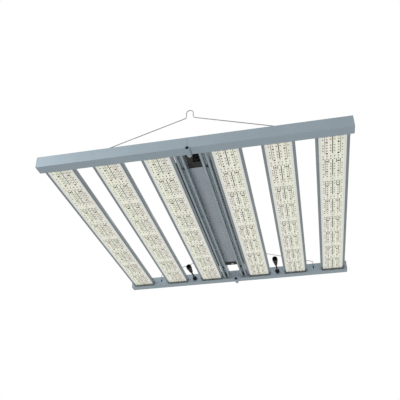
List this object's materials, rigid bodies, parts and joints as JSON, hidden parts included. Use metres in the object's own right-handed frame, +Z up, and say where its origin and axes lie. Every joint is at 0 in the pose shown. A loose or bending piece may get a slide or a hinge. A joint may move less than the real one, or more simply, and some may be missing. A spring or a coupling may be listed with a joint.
{
  "type": "led grow light",
  "caption": "Folding LED grow light with parallel light bars on two hinged half frames, a long slim driver above and wire hangers at both ends.",
  "frame": {"origin": "middle of the bounding box of the open light, level with the bottom of the hinge barrels", "axes": "+X to the right across the two halves, +Y from the front beam to the rear beam along the light bars, +Z up; the LEDs face down"},
  "size_m": [1.06, 1.115, 0.203],
  "materials": {
    "frame_metal": "satin powder coat on aluminium, blue grey",
    "bar_metal": "anodised, satin",
    "board_white": "white solder mask",
    "bracket_grey": "satin",
    "zinc": "bright zinc",
    "dark_steel": "black oxide",
    "driver_metal": "satin powder coat on aluminium, grey",
    "cap_plastic": "fine moulded texture",
    "circuit_board": "solder mask",
    "transformer": "tape over ferrite",
    "capacitor": "sleeve",
    "choke": "painted core",
    "wire": "galvanised wire",
    "connector_plastic": "satin moulded",
    "cable_rubber": "matt jacket"
  },
  "bodies": {
    "left_half": {"front_beam_left": "frame_metal", "rear_beam_left": "frame_metal", "beam_end_caps_left": "frame_metal", "hinge_blocks_left": "frame_metal", "hinge_bolts": "dark_steel", "hinge_cap_nuts": "zinc", "bar_heatsink_1": "bar_metal", "bar_heatsink_2": "bar_metal", "bar_heatsink_3": "bar_metal", "led_boards_1": "board_white", "led_boards_2": "board_white", "led_boards_3": "board_white", "bar_brackets_left": "bracket_grey", "bracket_screws_left": "dark_steel", "board_screws_left": "dark_steel", "rail_left": "frame_metal", "rail_end_blocks_left": "dark_steel", "rail_end_bolts_left": "dark_steel", "driver_housing": "driver_metal", "driver_front_cap": "cap_plastic", "driver_rear_cap": "cap_plastic", "driver_cap_screws": "dark_steel", "driver_fixing_bolts_left": "dark_steel", "driver_earth_screw": "zinc", "driver_boards": "circuit_board", "driver_transformers": "transformer", "driver_capacitors": "capacitor", "driver_chokes": "choke", "mains_inlet": "cap_plastic", "dimmer_ports": "cap_plastic", "lead_gland_left": "connector_plastic", "lead_cable_left": "cable_rubber", "lead_connector_left": "connector_plastic", "wiring_harness_left": "cable_rubber"},
    "right_half": {"front_beam_right": "frame_metal", "rear_beam_right": "frame_metal", "beam_end_caps_right": "frame_metal", "hinge_blocks_right": "frame_metal", "bar_heatsink_4": "bar_metal", "bar_heatsink_5": "bar_metal", "bar_heatsink_6": "bar_metal", "led_boards_4": "board_white", "led_boards_5": "board_white", "led_boards_6": "board_white", "bar_brackets_right": "bracket_grey", "bracket_screws_right": "dark_steel", "board_screws_right": "dark_steel", "rail_right": "frame_metal", "rail_end_blocks_right": "dark_steel", "rail_end_bolts_right": "dark_steel", "driver_fixing_bolts_right": "dark_steel", "lead_gland_right": "connector_plastic", "lead_cable_right": "cable_rubber", "lead_connector_right": "connector_plastic", "wiring_harness_right": "cable_rubber"},
    "front_hanger": {"front_hanger": "wire"},
    "rear_hanger": {"rear_hanger": "wire"},
    "left_coupling_ring": {"coupling_ring_left": "connector_plastic"},
    "right_coupling_ring": {"coupling_ring_right": "connector_plastic"}
  },
  "joints": [
    {"name": "fold", "type": "hinge", "parent": "left_half", "child": "right_half", "pos_m": [0, -0.005, 0.0085], "axis": [0, 1, 0], "range_deg": [0, 180]},
    {"name": "front_hanger_tilt", "type": "hinge", "parent": "left_half", "child": "front_hanger", "pos_m": [0, -0.5205, 0.0345], "axis": [-1, 0, 0], "range_deg": [0, 55]},
    {"name": "rear_hanger_tilt", "type": "hinge", "parent": "left_half", "child": "rear_hanger", "pos_m": [0, 0.5105, 0.0345], "axis": [1, 0, 0], "range_deg": [0, 55]},
    {"name": "left_coupling_spin", "type": "hinge", "parent": "left_half", "child": "left_coupling_ring", "pos_m": [-0.2035, 0.3755, 0.026], "axis": [0, 1, 0], "continuous": true},
    {"name": "right_coupling_spin", "type": "hinge", "parent": "right_half", "child": "right_coupling_ring", "pos_m": [0.2035, 0.3755, 0.026], "axis": [0, 1, 0], "continuous": true}
  ]
}
